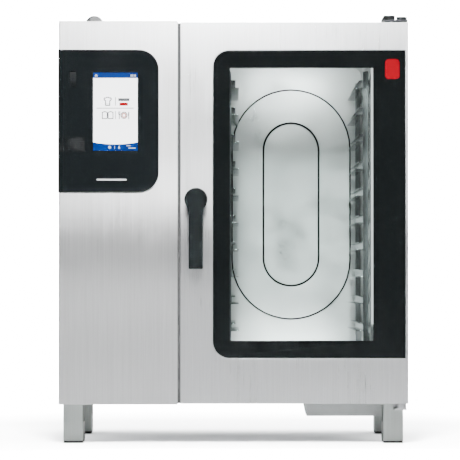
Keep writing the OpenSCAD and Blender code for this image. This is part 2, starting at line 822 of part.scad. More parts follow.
module drain_strainer() {
    color("silver") difference() {
        rod_z(drain_x, drain_y, cavity_z0, cavity_z0 + 3, 34);
        for (a = [0:60:300]) translate([drain_x, drain_y, cavity_z0 - eps]) rotate([0, 0, a]) translate([13, 0, 0])
            cylinder(r = 4, h = 3 + 2 * eps);
        rod_z(drain_x, drain_y, cavity_z0 - eps, cavity_z0 + 3 + eps, 4);
    }
}

// ---- racks and fan -------------------------------------------------------------------------

// Upright post with the two hook plates that hang on the wall's studs
module rack_post(x0, y) {
    mid_y = y + post_d / 2;
    x1 = x0 + post_w;
    difference() {
        box(x0, x1, y, y + post_d, post_z0, post_z1);
        box(x0 + rail_t, x1 - rail_t, y + rail_t, y + post_d - rail_t, post_z0 - eps, post_z1 + eps);
    }
    for (z = stud_zs) difference() {
        box(x1, x1 + hook_t, y, y + post_d, z - 20, z + 14);
        box(x1 - eps, x1 + hook_t + eps, mid_y - stud_r - 0.4, mid_y + stud_r + 0.4, z - 21, z + stud_r + 0.3);
    }
}

// Rack for the right wall, drawn about the middle plane x = 0
module rack() {
    web = rail_half;
    back = web + rail_t;
    color("silver") union() {
        for (i = [0:levels - 1]) {
            z = first_rail_z + i * level_pitch;
            box(web - rail_shelf, back, rail_y0, rail_y1, z, z + rail_t);
            box(web, back, rail_y0, rail_y1, z, z + rail_h);
            box(web - rail_lip, back, rail_y0, rail_y1, z + rail_h - rail_t, z + rail_h);
        }
        for (y = post_ys) rack_post(back, y);
    }
}
module rack_right() { translate([middle_x, 0, 0]) rack(); }
module rack_left() { translate([middle_x, 0, 0]) mirror([1, 0, 0]) rack(); }

module fan_wheel() {
    color("silver") difference() {
        union() {
            rod_x(-102, -99, fan_y, fan_z, fan_r);
            rod_x(-99, -50, fan_y, fan_z, 20);
            difference() {
                rod_x(-49, -46, fan_y, fan_z, fan_r);
                rod_x(-50, -45, fan_y, fan_z, fan_r - 22);
            }
            for (i = [0:fan_blades - 1]) translate([0, fan_y, fan_z]) rotate([i * 360 / fan_blades, 0, 0])
                box(-99, -48, -1.5, 1.5, fan_r - 62, fan_r - 1);
        }
        rod_x(-103, -49, fan_y, fan_z, 9 + 0.02);
    }
}

module fan_shaft() {
    color("gray") union() {
        rod_x(motor_x1 - 62, -46, fan_y, fan_z, 9);
        rod_x(-50, -42, fan_y, fan_z, 14);
    }
}

// ---- door ----------------------------------------------------------------------------------

module door_skin() {
    color("gainsboro") difference() {
        box(door_x0, door_x1, front_y, door_back, door_z0, door_z1);
        box(door_x0 + sheet, door_x1 - sheet, in_y0, door_back + eps, door_z0 + sheet, door_z1 - sheet);
        upright(front_y - eps, in_y0 + eps) glass_outline(0.8);
        rod_z(hinge_x, hinge_y, door_z0 - eps, door_z0 + sheet + eps, 8);
        rod_z(hinge_x, hinge_y, door_z1 - sheet - eps, door_z1 + eps, 8);
        rod_y(handle_x, front_y - eps, in_y0 + eps, handle_z, 14);
    }
}

module door_glass() {
    color("lightcyan", 0.3) upright(front_y - glass_proud, front_y - glass_proud + glass_t) glass_outline();
}

module door_print() {
    color("black") upright(print_y1 - print_t, print_y1) difference() {
        glass_outline();
        translate([window_x0, window_z0]) square([window_x1 - window_x0, window_z1 - window_z0]);
    }
}

module door_inner_frame() {
    lip_d = 14;
    land = 8;                               // overlap of the outer glass on its carrier
    z = handle_z - striker_drop;
    color("silver") union() {
        difference() {
            union() {
                box(door_x0 + sheet, door_x1 - sheet, door_back - 2, door_back, door_z0 + sheet, door_z1 - sheet);
                box(pane_x0 - 3, pane_x1 + 3, door_back - lip_d, door_back - 2, pane_z0 - 3, pane_z1 + 3);
            }
            box(pane_x0 - 1, pane_x1 + 1, door_back - lip_d - eps, door_back + eps, pane_z0 - 1, pane_z1 + 1);
            rod_y(handle_x, door_back - 3, door_back + eps, z, 17);
        }
        difference() {
            upright(print_y1, print_y1 + 2) rounded(glass_x0 - land, door_x1 - sheet, glass_z0 - land,
                glass_z1 + land, glass_r + land, right = false);
            upright(print_y1 - eps, print_y1 + 3)
                rounded(window_x0 - 12, window_x1 + 14, window_z0 - 12, window_z1 + 12, 6);
        }
        for (x = [door_x0 + sheet, door_x1 - sheet - 3]) for (zz = [240, 900])
            box(x, x + 3, in_y0 + 6, door_back - 2, zz, zz + 40);
    }
}

module door_inner_pane() {
    color("lightcyan", 0.3) upright(pane_back - pane_t, pane_back) rounded(pane_x0, pane_x1, pane_z0, pane_z1, 6);
}

module pane_fittings() {
    color("gray") {
        for (z = [250, 910]) {
            box(pane_x1 - 14, pane_x1 - 4, pane_back - pane_t - 8, pane_back - pane_t, z, z + 36);
            rod_z(pane_x1 - 9, pane_back - pane_t - 12, z - 6, z + 42, 4);
        }
        for (z = [330, 830]) {
            box(pane_x0 - 22, pane_x0 - 2, door_back, door_back + 2, z, z + 22);
            rod_y(pane_x0 - 14, door_back + 2, door_back + 4, z + 11, 4);
        }
    }
}

module door_light_bar() {
    color("white") union() {
        box(346, 358, -318, -302, 300, 944);
        box(354, 360, -302, -298, 290, 954);
    }
}

// Bearing blocks with their bores in the door's top and bottom corners at the hinge edge
module hinge_bushes() {
    color("gray") for (z = [door_z0 + sheet, door_z1 - sheet - 36]) difference() {
        box(hinge_x - 14, door_x1 - sheet, hinge_y - 14, hinge_y + 14, z, z + 36);
        rod_z(hinge_x, hinge_y, z - eps, z + 36 + eps, hinge_pin_r + run);
    }
}

module handle_escutcheon() {
    color("dimgray") difference() {
        union() {
            rod_y(handle_x, front_y - 2.5, front_y, handle_z, 29);
            rod_y(handle_x, front_y, front_y + 26, handle_z, 13.5);
        }
        rod_y(handle_x, front_y - 3, front_y + 27, handle_z, spindle_r + run);
    }
}

// Lever: round head, waisted neck and flat bar, on a round boss that turns in the door
module door_handle() {
    neck = 40;
    half = handle_bar_w / 2;
    color("black") union() {
        upright(handle_front, handle_front + handle_bar_t) {
            translate([handle_x, handle_z]) circle(r = handle_head_r);
            translate([handle_x, handle_z]) polygon([[-25, -8], [25, -8], [half, -neck], [half, -handle_len],
                [-half, -handle_len], [-half, -neck]]);
        }
        rod_y(handle_x, handle_front + handle_bar_t, front_y - 3, handle_z, boss_r);
    }
}

// Spindle through the door, with the latch cam on its inner end
module handle_spindle() {
    color("gray") union() {
        rod_y(handle_x, front_y - 3, front_y + 40, handle_z, spindle_r);
        upright(front_y + 30, front_y + 38) {
            translate([handle_x, handle_z]) circle(r = 14);
            translate([handle_x - 7, handle_z - 27]) square([14, 27]);
        }
    }
}

base_pan();
left_side_panel();
right_side_panel();
top_panel();
rear_panel();
left_front_panel();
front_frame();
cavity_liner();
cavity_back();
cavity_insulation();
door_gasket();
suction_panel();
rack_studs();
heater_coil();
fan_motor();
spray_pipe();
water_inlets();
wash_pump();
condenser_box();
cavity_drain_pipe();
drain_outlet();
exhaust_pipe();
air_intake_pipe();
contactors();
cable_gland();
control_board();
control_housing();
control_glass();
display_panel();
cooling_fan_frame();
hinge_bracket_top();
hinge_cap_top();
hinge_bracket_bottom();
striker_pin();
legs();
underside_cover();
drain_strainer();
rack_left();
rack_right();
fan_wheel();
fan_shaft();
cooling_fan_wheel();
damper_flap();
power_switch();
usb_cover();
foot_front_left();
foot_front_right();
foot_rear_left();
foot_rear_right();
door_skin();
door_glass();
door_print();
door_inner_frame();
door_inner_pane();
pane_fittings();
door_light_bar();
hinge_bushes();
handle_escutcheon();
door_handle();
handle_spindle();
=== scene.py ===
"""Looks of the combi steamer oven, in metres: front towards -Y, X to the right, Z up."""

import math

import bmesh
import bpy
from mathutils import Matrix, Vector
from mathutils.geometry import tessellate_polygon


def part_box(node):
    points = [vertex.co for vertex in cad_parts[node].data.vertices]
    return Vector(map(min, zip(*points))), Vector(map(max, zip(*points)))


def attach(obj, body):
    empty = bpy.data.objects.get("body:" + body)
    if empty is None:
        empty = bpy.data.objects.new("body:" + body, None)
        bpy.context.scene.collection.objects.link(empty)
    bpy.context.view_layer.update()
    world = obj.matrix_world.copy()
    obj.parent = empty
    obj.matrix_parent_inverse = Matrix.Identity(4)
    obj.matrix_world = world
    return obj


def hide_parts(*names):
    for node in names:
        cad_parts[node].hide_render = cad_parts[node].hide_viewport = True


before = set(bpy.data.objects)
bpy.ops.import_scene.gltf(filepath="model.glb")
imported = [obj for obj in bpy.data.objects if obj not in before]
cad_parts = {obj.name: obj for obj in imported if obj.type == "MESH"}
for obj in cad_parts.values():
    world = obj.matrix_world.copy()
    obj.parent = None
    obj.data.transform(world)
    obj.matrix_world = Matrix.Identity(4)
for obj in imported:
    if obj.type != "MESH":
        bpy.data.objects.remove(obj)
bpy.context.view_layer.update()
MM = 0.001


# ---- places that come from the frame -------------------------------------------------------

rear_y, top_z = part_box("rear_panel")[1].y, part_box("top_panel")[1].z
front_low, front_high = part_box("left_front_panel")
door_low, door_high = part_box("door_skin")
glass_low, glass_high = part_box("door_glass")
print_low, print_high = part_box("door_print")
module_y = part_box("control_housing")[0].y
screen_low, screen_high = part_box("display_panel")
handle_low, handle_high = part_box("door_handle")
inlets_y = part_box("water_inlets")[1].y
cavity_back_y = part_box("cavity_back")[0].y
gasket_low, gasket_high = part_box("door_gasket")
front_y = front_low.y


# ---- outlines ------------------------------------------------------------------------------

def arc(cx, cz, r, start, end, steps=10):
    """Points along an arc, angles in degrees"""
    turn = [math.radians(start + (end - start) * i / steps) for i in range(steps + 1)]
    return [Vector((cx + r * math.cos(a), cz + r * math.sin(a))) for a in turn]


def circle(cx, cz, r, steps=40):
    return arc(cx, cz, r, 0, 360 - 360 / steps, steps - 1)


def rounded(x0, z0, x1, z1, radii, steps=8):
    """Counter-clockwise rectangle; radii for bottom left, bottom right, top right, top left"""
    radii = radii if isinstance(radii, (tuple, list)) else (radii,) * 4
    corners = ((x0, z0, 1, 1), (x1, z0, -1, 1), (x1, z1, -1, -1), (x0, z1, 1, -1))
    points = []
    for i, (x, z, sx, sz) in enumerate(corners):
        r = radii[i]
        if r <= 0:
            points.append(Vector((x, z)))
        else:
            points += arc(x + sx * r, z + sz * r, r, 180 + 90 * i, 270 + 90 * i, steps)
    return points


def curve_through(a, control, b, steps=8):
    """Points of a quadratic curve from a to b, both ends left out"""
    a, control, b = Vector(a), Vector(control), Vector(b)
    ts = [i / steps for i in range(1, steps)]
    return [a * (1 - t) ** 2 + control * 2 * t * (1 - t) + b * t ** 2 for t in ts]


def inset(loop, depth):
    """A counter-clockwise outline moved inwards by depth"""
    moved = []
    for i, b in enumerate(loop):
        a, c = loop[i - 1], loop[(i + 1) % len(loop)]
        u, v = (b - a).normalized(), (c - b).normalized()
        nu, nv = Vector((-u.y, u.x)), Vector((-v.y, v.x))
        moved.append(b + (nu + nv) * depth / max(0.3, 1 + nu.dot(nv)))
    return moved


def backwards(loop):
    return list(reversed(loop))


# ---- meshes --------------------------------------------------------------------------------

AXES = {"x": lambda u, v, w: (w, u, v), "y": lambda u, v, w: (u, w, v), "z": lambda u, v, w: (u, v, w)}


def finish_piece(name, bm, look, body, sharp=40):
    """Turns a mesh in place into a piece with its look, riding on its body"""
    bmesh.ops.remove_doubles(bm, verts=bm.verts, dist=1e-7)
    bmesh.ops.dissolve_degenerate(bm, edges=bm.edges, dist=1e-8)
    bmesh.ops.recalc_face_normals(bm, faces=bm.faces)
    mesh = bpy.data.meshes.new(name)
    bm.to_mesh(mesh)
    bm.free()
    mesh.materials.append(look)
    mesh.shade_smooth()
    mesh.set_sharp_from_angle(angle=math.radians(sharp))
    piece = bpy.data.objects.new(name, mesh)
    bpy.context.scene.collection.objects.link(piece)
    shading = piece.modifiers.new("flat_faces", "WEIGHTED_NORMAL")
    shading.keep_sharp = True
    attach(piece, body)
    return piece


def add_plate(bm, outline, span, axis="y", holes=(), edge=0.0, steps=3):
    """Prism between two depths along an axis, every rim rounded by edge"""
    low, high = span
    place = AXES[axis]
    loops = [outline] + [backwards(h) for h in holes]
    rims = []
    turns = [math.pi / 2 * i / steps for i in range(steps + 1)] if edge > 0 else [math.pi / 2]
    for t in turns:
        rims.append((edge * (1 - math.sin(t)), low + edge * (1 - math.cos(t))))
    for t in reversed(turns):
        rims.append((edge * (1 - math.sin(t)), high - edge * (1 - math.cos(t))))
    layers = []
    for depth, w in rims:
        moved = [inset(loop, depth) if depth > 1e-9 else loop for loop in loops]
        layers.append([[bm.verts.new(place(p.x, p.y, w)) for p in loop] for loop in moved])
    for lower, upper in zip(layers, layers[1:]):
        for ring_a, ring_b in zip(lower, upper):
            for i in range(len(ring_a)):
                j = (i + 1) % len(ring_a)
                bm.faces.new((ring_a[i], ring_a[j], ring_b[j], ring_b[i]))
    for layer in (layers[0], layers[-1]):
        verts = [v for ring in layer for v in ring]
        flat = [[v.co for v in ring] for ring in layer]
        for face in tessellate_polygon(flat):
            if len(set(face)) == 3:
                bm.faces.new([verts[i] for i in face])


def plate(name, outline, span, look, slot, body, **options):
    bm = bmesh.new()
    add_plate(bm, outline, span, **options)
    return finish_piece(name, bm, look, body)


def add_lathe(bm, profile, centre, axis="y", sides=40):
    """Closed turned shape: profile is (radius, depth along the axis) from one end to the other"""
    place = AXES[axis]
    cu, cv, cw = {"x": (centre[1], centre[2], centre[0]), "y": (centre[0], centre[2], centre[1]),
                  "z": (centre[0], centre[1], centre[2])}[axis]
    rings = []
    for r, w in profile:
        if r < 1e-7:
            rings.append([bm.verts.new(place(cu, cv, cw + w))])
            continue
        turn = [2 * math.pi * i / sides for i in range(sides)]
        rings.append([bm.verts.new(place(cu + r * math.cos(a), cv + r * math.sin(a), cw + w)) for a in turn])
    for a, b in zip(rings, rings[1:]):
        for i in range(sides):
            j = (i + 1) % sides
            quad = [a[i % len(a)], a[j % len(a)], b[j % len(b)], b[i % len(b)]]
            corners = list(dict.fromkeys(quad))
            if len(corners) > 2:
                bm.faces.new(corners)


def add_tube(bm, path, radius, sides=12, closed=False):
    """Round wire along a path, with flat ends unless it is closed"""
    path = [Vector(p) for p in path]
    count = len(path)
    rings = []
    side = None
    for i, p in enumerate(path):
        before = path[i - 1] if (i or closed) else p
        after = path[(i + 1) % count] if (i < count - 1 or closed) else p
        along = (after - before).normalized()
        if side is None:
            side = along.orthogonal().normalized()
        side = (side - along * side.dot(along)).normalized()
        other = along.cross(side)
        turn = [2 * math.pi * k / sides for k in range(sides)]
        rings.append([bm.verts.new(p + (side * math.cos(a) + other * math.sin(a)) * radius) for a in turn])
    for a, b in zip(rings, rings[1:]):
        for k in range(sides):
            j = (k + 1) % sides
            bm.faces.new((a[k], a[j], b[j], b[k]))
    if closed:
        first, last = rings[0], rings[-1]
        shift = min(range(sides), key=lambda s: (first[s].co - last[0].co).length)
        for k in range(sides):
            j = (k + 1) % sides
            bm.faces.new((last[k], last[j], first[(j + shift) % sides], first[(k + shift) % sides]))
    else:
        bm.faces.new(backwards(rings[0]))
        bm.faces.new(rings[-1])


def add_screw(bm, x, y, z, axis, outwards, radius=4.2 * MM):
    """Domed screw head with a round recess, on a face that looks along the axis"""
    s = outwards
    dome = [(0, 0), (radius, 0), (radius, s * 0.5 * MM), (radius * 0.93, s * 1.2 * MM),
            (radius * 0.7, s * 1.9 * MM), (radius * 0.52, s * 2.1 * MM)]
    add_lathe(bm, dome + [(radius * 0.5, s * 2.1 * MM), (radius * 0.45, s * 0.9 * MM), (0, s * 0.8 * MM)],
              (x, y, z), axis, sides=18)


def soften(name, width, steps=2, angle=35):
    """Gives a CAD node's sharp edges a small radius and its flat faces clean shading"""
    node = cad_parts[name]
    weld = node.modifiers.new("weld", "WELD")
    weld.merge_threshold = 1e-6
    merge = node.modifiers.new("merge_flat_faces", "DECIMATE")
    merge.decimate_type = "DISSOLVE"
    merge.angle_limit = math.radians(0.2)
    bevel = node.modifiers.new("edge_radius", "BEVEL")
    bevel.width = width
    bevel.segments = steps
    bevel.limit_method = "ANGLE"
    bevel.angle_limit = math.radians(angle)
    shading = node.modifiers.new("flat_faces", "WEIGHTED_NORMAL")
    shading.keep_sharp = False
    shading.weight = 100


# ---- looks ---------------------------------------------------------------------------------

class Look:
    """A procedural material built up around one Principled shader"""

    def __init__(self, name, colour, roughness, metallic=0.0, **fixed):
        self.material = bpy.data.materials.new("look_" + name)
        self.material.use_nodes = True
        self.tree = self.material.node_tree
        self.shader = self.tree.nodes["Principled BSDF"]
        self.set("Base Color", (*colour, 1))
        self.set("Roughness", roughness)
        self.set("Metallic", metallic)
        for socket, value in fixed.items():
            self.set(socket.replace("_", " "), value)
        self.place = self.tree.nodes.new("ShaderNodeTexCoord").outputs["Object"]
        self.normal = None

    def set(self, socket, value):
        self.shader.inputs[socket].default_value = value

    def link(self, out, into):
        self.tree.links.new(out, into)

    def spread(self, scale, seed=(0, 0, 0)):
        """The piece's own frame, scaled to cells per metre along each axis"""
        mapping = self.tree.nodes.new("ShaderNodeMapping")
        mapping.inputs["Scale"].default_value = scale if isinstance(scale, tuple) else (scale,) * 3
        mapping.inputs["Location"].default_value = seed
        self.link(self.place, mapping.inputs["Vector"])
        return mapping.outputs["Vector"]

    def noise(self, scale, detail=2.0, rough=0.5, seed=(0, 0, 0)):
        cloud = self.tree.nodes.new("ShaderNodeTexNoise")
        cloud.inputs["Scale"].default_value = 1.0
        cloud.inputs["Detail"].default_value = detail
        cloud.inputs["Roughness"].default_value = rough
        self.link(self.spread(scale, seed), cloud.inputs["Vector"])
        return cloud.outputs["Fac"]

    def cells(self, scale):
        """Distance to the nearest of scattered points"""
        grid = self.tree.nodes.new("ShaderNodeTexVoronoi")
        grid.inputs["Scale"].default_value = 1.0
        self.link(self.spread(scale), grid.inputs["Vector"])
        return grid.outputs["Distance"]

    def remap(self, value, low, high, from_low=0.3, from_high=0.7):
        change = self.tree.nodes.new("ShaderNodeMapRange")
        change.inputs["From Min"].default_value = from_low
        change.inputs["From Max"].default_value = from_high
        change.inputs["To Min"].default_value = low
        change.inputs["To Max"].default_value = high
        self.link(value, change.inputs["Value"])
        return change.outputs["Result"]

    def maths(self, operation, a, b):
        node = self.tree.nodes.new("ShaderNodeMath")
        node.operation = operation
        for socket, value in zip(node.inputs, (a, b)):
            if isinstance(value, (int, float)):
                socket.default_value = value
            else:
                self.link(value, socket)
        return node.outputs[0]

    def blend(self, factor, a, b):
        """Colour between a and b; each is a colour or a socket"""
        node = self.tree.nodes.new("ShaderNodeMix")
        node.data_type = "RGBA"
        self.link(factor, node.inputs["Factor"])
        for socket, value in ((node.inputs[6], a), (node.inputs[7], b)):
            if isinstance(value, tuple):
                socket.default_value = (*value, 1)
            else:
                self.link(value, socket)
        return node.outputs[2]

    def colour(self, socket):
        self.link(socket, self.shader.inputs["Base Color"])

    def roughness(self, socket):
        self.link(socket, self.shader.inputs["Roughness"])

    def bump(self, height, distance, strength=1.0):
        node = self.tree.nodes.new("ShaderNodeBump")
        node.inputs["Strength"].default_value = strength
        node.inputs["Distance"].default_value = distance
        self.link(height, node.inputs["Height"])
        if self.normal is not None:
            self.link(self.normal, node.inputs["Normal"])
        self.normal = node.outputs["Normal"]
        self.link(self.normal, self.shader.inputs["Normal"])

    def edges(self, radius):
        """1 on the piece's rounded edges and 0 on its faces"""
        smooth = self.tree.nodes.new("ShaderNodeBevel")
        smooth.samples = 4
        smooth.inputs["Radius"].default_value = radius
        flat = self.tree.nodes.new("ShaderNodeNewGeometry")
        facing = self.tree.nodes.new("ShaderNodeVectorMath")
        facing.operation = "DOT_PRODUCT"
        self.link(smooth.outputs["Normal"], facing.inputs[0])
        self.link(flat.outputs["Normal"], facing.inputs[1])
        return self.remap(facing.outputs["Value"], 1.0, 0.0, 0.9, 0.995)


def shade(colour, factor):
    return tuple(min(1.0, c * factor) for c in colour)


BOW_Z, BOW_HALF = 0.50, 0.17  # height and half width of the front sheets' outward bow


def brushed(name, colour, roughness, grain="z", sway=0.0, bow=0.0):
    """Brushed steel: fine grain along one axis, long streaks, faint smudges, sway and bow of the sheet"""
    look = Look(name, colour, roughness, metallic=1.0, Anisotropic=0.25)
    tangent = look.tree.nodes.new("ShaderNodeTangent")
    tangent.direction_type = "RADIAL"
    tangent.axis = "Z"
    look.link(tangent.outputs["Tangent"], look.shader.inputs["Tangent"])

    def drawn_out(along, across):
        return tuple(along if axis == grain else across for axis in "xyz")

    fine = look.noise(drawn_out(9.0, 1100.0), 2, 0.6)
    streak = look.noise(drawn_out(1.4, 170.0), 3, 0.7, (3.1, 1.7, 0.4))
    smudge = look.noise(7.0, 4, 0.6, (0.3, 5.2, 1.1))
    lines = look.maths("ADD", look.maths("MULTIPLY", fine, 0.6), look.maths("MULTIPLY", streak, 0.4))
    tone = look.blend(look.remap(lines, 0, 1), shade(colour, 0.9), shade(colour, 1.1))
    look.colour(tone)
    rough = look.maths("ADD", look.remap(lines, roughness - 0.03, roughness + 0.04),
                       look.remap(smudge, -0.02, 0.02))
    look.roughness(rough)
    if sway:
        look.bump(look.noise((2.2, 2.2, 1.3), 1, 0.4, (1.0, 2.0, 4.0)), sway)
    if bow:
        split = look.tree.nodes.new("ShaderNodeSeparateXYZ")
        look.link(look.place, split.inputs["Vector"])
        off = look.maths("DIVIDE", look.maths("SUBTRACT", split.outputs["Z"], BOW_Z), BOW_HALF)
        fall = look.maths("MULTIPLY", look.maths("MULTIPLY", off, off), -1)
        look.bump(look.maths("POWER", math.e, fall), bow)
    look.bump(lines, 0.00003, 0.6)
    return look.material


def satin(name, colour, roughness, metallic=1.0, grain=900.0, smudges=0.08, dirt=0.0):
    """Matt rolled or blasted metal with small grain and uneven lustre"""
    look = Look(name, colour, roughness, metallic=metallic)
    fine = look.noise(grain, 2, 0.6)
    broad = look.noise(11.0, 4, 0.6, (2.0, 0.5, 1.0))
    tone = look.blend(look.remap(broad, 0, 1), shade(colour, 0.9), shade(colour, 1.06))
    if dirt:
        wear_and_highlight = look.noise(60.0, 5, 0.7, (4.0, 4.0, 1.0))
        tone = look.blend(look.remap(wear_and_highlight, 0, dirt, 0.5, 0.75), tone, shade(colour, 0.45))
    look.colour(tone)
    look.roughness(look.maths("ADD", look.remap(fine, roughness - 0.03, roughness + 0.05),
                              look.remap(broad, -smudges, smudges)))
    look.bump(fine, 0.00003, 0.5)
    return look.material


def moulded(name, colour, roughness, grain=1400.0, wear_and_highlight=1.6, edge_mask_radius=0.0008, **fixed):
    """Moulded plastic or rubber: spark-eroded grain, dulled patches and paler edges, partly wear and partly
    painted highlight
    """
    look = Look(name, colour, roughness, **fixed)
    pits = look.cells(grain)
    cloud = look.noise(35.0, 4, 0.6)
    edge = look.edges(edge_mask_radius)
    # paler rounded edges: partly rubbed wear, partly a painted highlight where the edges would catch light
    rubbed_and_highlit_edges = look.maths("MULTIPLY", edge, look.remap(look.noise(240.0, 3, 0.7), 0.2, 1.0))
    tone = look.blend(look.remap(cloud, 0, 1), shade(colour, 0.85), shade(colour, 1.15))
    look.colour(look.blend(rubbed_and_highlit_edges, tone, shade(colour, wear_and_highlight)))
    look.roughness(look.maths("SUBTRACT", look.remap(cloud, roughness - 0.05, roughness + 0.06),
                              look.maths("MULTIPLY", rubbed_and_highlit_edges, 0.12)))
    look.bump(pits, 0.00008, 0.5)
    return look.material


def gloss_panel(name, colour, roughness=0.07, specular=0.5):
    """Black-backed glass: glossy, with faint wiping marks and dust"""
    look = Look(name, colour, roughness, Specular_IOR_Level=specular, IOR=1.5)
    wipe = look.noise((14.0, 14.0, 5.0), 4, 0.65)
    dust = look.noise(900.0, 2, 0.8, (1, 2, 3))
    look.colour(look.blend(look.remap(dust, 0, 1, 0.6, 0.8), colour, shade(colour, 1.5)))
    look.roughness(look.remap(wipe, roughness - 0.02, roughness + 0.05))
    look.bump(look.noise(4.0, 1, 0.4), 0.0006, 0.15)
    return look.material


def window_glass(name, tint, gloss=0.02):
    """Clear flat pane: it lets sight and lamp light straight through and mirrors a little"""
    look = Look(name, tint, gloss)
    tree = look.tree
    through = tree.nodes.new("ShaderNodeBsdfTransparent")
    film = look.noise((9.0, 9.0, 4.0), 4, 0.6)
    tone = look.blend(look.remap(film, 0, 1), shade(tint, 0.985), tint)
    look.link(tone, through.inputs["Color"])
    mirror = tree.nodes.new("ShaderNodeBsdfGlossy")
    look.link(look.remap(film, gloss, gloss + 0.05), mirror.inputs["Roughness"])
    facing = tree.nodes.new("ShaderNodeFresnel")
    facing.inputs["IOR"].default_value = 1.45
    mix = tree.nodes.new("ShaderNodeMixShader")
    look.link(facing.outputs["Fac"], mix.inputs["Fac"])
    look.link(through.outputs["BSDF"], mix.inputs[1])
    look.link(mirror.outputs["BSDF"], mix.inputs[2])
    look.link(mix.outputs["Shader"], tree.nodes["Material Output"].inputs["Surface"])
    return look.material


def lit(name, colour, strength, roughness=0.35, grid=2600.0):
    """A glowing display layer with a faint dot grid and an uneven backlight"""
    look = Look(name, shade(colour, 0.06), roughness, Emission_Strength=strength, Specular_IOR_Level=0.04)
    dots = look.cells(grid)
    backlight = look.noise(14.0, 2, 0.5)
    tone = look.blend(look.remap(backlight, 0, 1), shade(colour, 0.94), shade(colour, 1.0))
    tone = look.blend(look.remap(dots, 0, 0.12, 0.1, 0.8), tone, shade(colour, 0.7))
    look.link(tone, look.shader.inputs["Emission Color"])
    look.roughness(look.remap(backlight, roughness - 0.05, roughness + 0.05))
    look.bump(dots, 0.00001, 0.2)
    return look.material


LOOKS = {
    "casing_steel": brushed("casing_steel", (0.62, 0.625, 0.63), 0.34, sway=0.0010),
    "door_steel": brushed("door_steel", (0.64, 0.65, 0.66), 0.30, sway=0.0006, bow=0.011),
    "frame_steel": brushed("frame_steel", (0.60, 0.61, 0.62), 0.32),
    "top_steel": brushed("top_steel", (0.62, 0.625, 0.63), 0.36, grain="x", sway=0.002),
    "cavity_steel": satin("cavity_steel", (0.70, 0.72, 0.72), 0.36, metallic=0.75, grain=700.0),
    "rack_steel": satin("rack_steel", (0.34, 0.35, 0.355), 0.2, grain=1200.0, smudges=0.05),
    "hardware_steel": satin("hardware_steel", (0.52, 0.53, 0.54), 0.34, dirt=0.3),
    "leg_steel": brushed("leg_steel", (0.43, 0.46, 0.445), 0.34),
    "pipe_steel": satin("pipe_steel", (0.36, 0.36, 0.355), 0.24, dirt=0.15),
    "cover_steel": satin("cover_steel", (0.50, 0.52, 0.52), 0.4, dirt=0.2),
    "fan_steel": satin("fan_steel", (0.58, 0.58, 0.57), 0.3),
    "heater_sheath": satin("heater_sheath", (0.23, 0.21, 0.19), 0.45, grain=500.0, dirt=0.5),
    "motor_paint": moulded("motor_paint", (0.05, 0.055, 0.06), 0.42, grain=600.0),
    "pump_body": moulded("pump_body", (0.30, 0.31, 0.32), 0.5, grain=900.0),
    "insulation_wool": moulded("insulation_wool", (0.62, 0.53, 0.30), 0.95, grain=260.0, wear_and_highlight=1.2),
    "gasket_rubber": moulded("gasket_rubber", (0.012, 0.013, 0.0135), 0.55, grain=800.0, wear_and_highlight=2.2),
    "module_plastic": moulded("module_plastic", (0.0036, 0.0044, 0.0048), 0.17, grain=1500.0, wear_and_highlight=2.5,
                              Specular_IOR_Level=0.35),
    "module_glass": gloss_panel("module_glass", (0.0040, 0.0052, 0.0058)),
    "board": moulded("board", (0.02, 0.16, 0.07), 0.4, grain=500.0),
    "relay_plastic": moulded("relay_plastic", (0.55, 0.56, 0.55), 0.45, wear_and_highlight=1.15),
    "fan_plastic": moulded("fan_plastic", (0.03, 0.03, 0.032), 0.42, wear_and_highlight=2.2),
    "gland_plastic": moulded("gland_plastic", (0.16, 0.165, 0.17), 0.45, wear_and_highlight=1.5),
    "drain_plastic": moulded("drain_plastic", (0.28, 0.29, 0.30), 0.5, wear_and_highlight=1.3),
    "cap_plastic": moulded("cap_plastic", (0.0036, 0.0038, 0.004), 0.5, wear_and_highlight=3.0, Specular_IOR_Level=0.1),
    "handle_plastic": moulded("handle_plastic", (0.0028, 0.0036, 0.0038), 0.24, grain=1300.0, wear_and_highlight=2.2,
                              edge_mask_radius=0.0015, Specular_IOR_Level=0.06),
    "switch_plastic": moulded("switch_plastic", (0.0038, 0.0046, 0.005), 0.17, wear_and_highlight=2.8,
                              Specular_IOR_Level=0.35),
    "foot_plastic": moulded("foot_plastic", (0.006, 0.006, 0.0065), 0.5, wear_and_highlight=2.5),
    "brass": satin("brass", (0.80, 0.60, 0.30), 0.3, grain=700.0, dirt=0.35),
    "clear_glass": window_glass("clear_glass", (0.955, 0.975, 0.97)),
    "black_print": gloss_panel("black_print", (0.0030, 0.0038, 0.0040), 0.06),
    "light_diffuser": lit("light_diffuser", (0.82, 0.86, 0.87), 1.6, 0.5, 900.0),
    "screen": lit("screen", (0.97, 0.98, 1.0), 4.8),
}
screen_blue = lit("screen_blue", (0.0, 0.14, 1.0), 0.105)
screen_grey = lit("screen_grey", (0.9, 0.95, 1.0), 0.06)
screen_rule = lit("screen_rule", (0.9, 0.95, 1.0), 0.35)
screen_mark = lit("screen_mark", (0.9, 0.95, 1.0), 1.1)
screen_red = lit("screen_red", (1.0, 0.0, 0.012), 0.5)
screen_pale = lit("screen_pale", (1.0, 0.35, 0.28), 1.5)
mark_red = gloss_panel("mark_red", (0.15, 0.0, 0.004), 0.12, specular=0.15)
# dark look for tubes that paint shade along the cavity back's raised oval
painted_shade_line = moulded("painted_shade_line", (0.006, 0.006, 0.006), 0.6, grain=900.0, Specular_IOR_Level=0.1)
front_steel = brushed("front_steel", (0.63, 0.635, 0.64), 0.32, sway=0.0008, bow=0.014)
